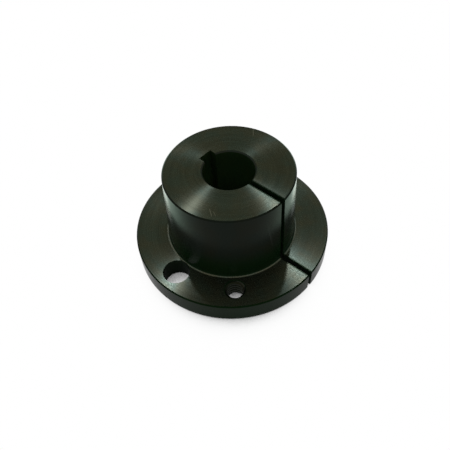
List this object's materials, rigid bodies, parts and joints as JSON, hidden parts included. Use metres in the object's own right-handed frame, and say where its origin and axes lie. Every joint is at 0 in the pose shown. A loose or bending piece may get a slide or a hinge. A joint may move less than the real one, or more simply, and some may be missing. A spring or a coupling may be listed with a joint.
{
  "type": "tapered hub",
  "caption": "Flanged split hub with a tapered barrel and a keyed bore; screws draw it into a tapered seat so that it clamps its shaft.",
  "frame": {"origin": "centre of the flange's outer face, on the bore's axis", "axes": "+Z along the bore towards the barrel's small end; -X towards the keyway; the saw cut leaves near +X; the plain screw holes lie on Y"},
  "size_m": [0.0634, 0.0634, 0.0324],
  "materials": {
    "black_steel": "turned steel, blackened and oiled, satin"
  },
  "bodies": {
    "root": {"tapered_hub": "black_steel"}
  },
  "joints": []
}
